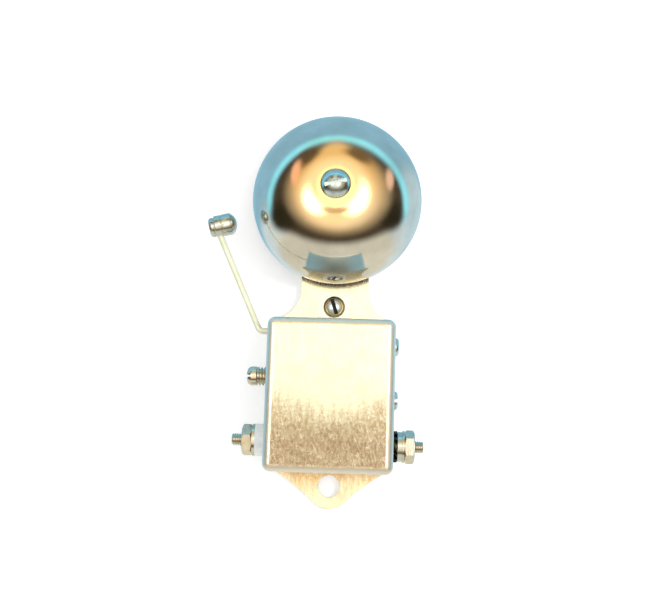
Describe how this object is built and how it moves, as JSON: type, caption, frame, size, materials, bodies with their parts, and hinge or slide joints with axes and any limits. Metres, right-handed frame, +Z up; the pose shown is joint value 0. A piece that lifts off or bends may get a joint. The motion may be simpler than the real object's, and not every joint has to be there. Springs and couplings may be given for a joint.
{
  "type": "electric bell demonstrator",
  "caption": "Single-gong trembler bell: domed gong above a boxed magnet on a keyhole-necked plate, with a hammer on a bent rod and a terminal each side.",
  "frame": {"origin": "on the plate's back face, midway between the two fixing holes", "axes": "+Z up along the bell, +X to the right seen from the front, the front faces -Y"},
  "size_m": [0.0708, 0.0317, 0.1268],
  "materials": {
    "plate_zinc": "yellow-passivated zinc over pressed steel",
    "frame_iron": "zinc-plated soft iron",
    "rivet_steel": "plain steel rivets",
    "post_steel": "turned plated steel",
    "fibre": "vulcanised fibre",
    "gong_nickel": "polished nickel plate on pressed steel",
    "screw_nickel": "nickel-plated turned screws",
    "cover_zinc": "yellow-passivated zinc, brushed and scratched",
    "bobbin_plastic": "moulded bobbin",
    "winding_copper": "enamelled copper wire",
    "spring_steel": "tempered spring steel",
    "contact_bronze": "phosphor bronze strip",
    "silver": "silver contact",
    "rod_zinc": "yellow-zinc-plated wire",
    "turned_brass": "turned brass, nickel worn",
    "terminal_nickel": "nickel-plated brass",
    "lock_black": "black-oxide spring steel",
    "bush_white": "white moulded nylon",
    "lead_insulation": "sleeved copper wire"
  },
  "bodies": {
    "base": {"base_plate": "plate_zinc", "magnet_frame": "frame_iron", "frame_rivets": "rivet_steel", "gong_post": "post_steel", "gong_seat_washer": "fibre", "gong": "gong_nickel", "gong_screw": "screw_nickel", "cover": "cover_zinc", "cover_screw_washer": "screw_nickel", "cover_screw": "screw_nickel", "upper_core": "frame_iron", "lower_core": "frame_iron", "upper_bobbin": "bobbin_plastic", "lower_bobbin": "bobbin_plastic", "upper_winding": "winding_copper", "lower_winding": "winding_copper", "core_screws": "screw_nickel", "armature_spring": "spring_steel", "spring_clamp": "spring_steel", "spring_screws": "spring_steel", "contact_sleeve": "turned_brass", "contact_bush": "fibre", "contact_washer": "fibre", "left_stud": "terminal_nickel", "left_bush": "bush_white", "left_insulator": "fibre", "left_tag": "contact_bronze", "left_inner_nut": "terminal_nickel", "right_stud": "terminal_nickel", "right_inner_nut": "terminal_nickel", "right_spacer": "turned_brass", "right_lock_washer": "lock_black", "right_clamp_washer": "turned_brass", "terminal_lead": "lead_insulation", "contact_lead": "lead_insulation", "coil_link": "lead_insulation"},
    "left_washer_slider": {"left_washer": "terminal_nickel"},
    "left_nut_turner": {"left_nut": "terminal_nickel"},
    "right_washer_slider": {"right_washer": "terminal_nickel"},
    "right_nut_turner": {"right_nut": "terminal_nickel"},
    "contact_advance": {"contact_tip": "silver"},
    "contact_turner": {"contact_screw": "terminal_nickel"},
    "armature_group": {"armature": "frame_iron", "spring_rivets": "rivet_steel", "contact_spring": "contact_bronze", "contact_rivet": "silver", "hammer_rod": "rod_zinc", "hammer_head": "turned_brass"}
  },
  "joints": [
    {"name": "armature_swing", "type": "hinge", "parent": "base", "child": "armature_group", "pos_m": [-0.00847, -0.012, -0.022], "axis": [0, 1, 0], "range_deg": [0, 4.82], "stiffness_Nm_per_rad": 0.05, "springref_deg": -3.44, "deforming": ["armature_spring"]},
    {"name": "left_nut_travel", "type": "slide", "parent": "base", "child": "left_washer_slider", "axis": [-1, 0, 0], "range_m": [0, 0.0021]},
    {"name": "left_nut_turn", "type": "hinge", "parent": "left_washer_slider", "child": "left_nut_turner", "pos_m": [-0.0254, -0.012, -0.0242], "axis": [-1, 0, 0], "range_deg": [0, 1080]},
    {"name": "right_nut_travel", "type": "slide", "parent": "base", "child": "right_washer_slider", "axis": [1, 0, 0], "range_m": [0, 0.0021]},
    {"name": "right_nut_turn", "type": "hinge", "parent": "right_washer_slider", "child": "right_nut_turner", "pos_m": [0.0249, -0.012, -0.025], "axis": [1, 0, 0], "range_deg": [0, 1080]},
    {"name": "contact_travel", "type": "slide", "parent": "base", "child": "contact_advance", "axis": [-1, 0, 0], "range_m": [0, 0.002]},
    {"name": "contact_turn", "type": "hinge", "parent": "contact_advance", "child": "contact_turner", "pos_m": [-0.02, -0.012, -0.0043], "axis": [-1, 0, 0], "range_deg": [0, 720]}
  ],
  "couplings": [
    {"joint": "left_nut_turn", "follows": "left_nut_travel", "rad_per_m": 8976},
    {"joint": "right_nut_turn", "follows": "right_nut_travel", "rad_per_m": 8976},
    {"joint": "contact_turn", "follows": "contact_travel", "rad_per_m": 6283.2}
  ]
}
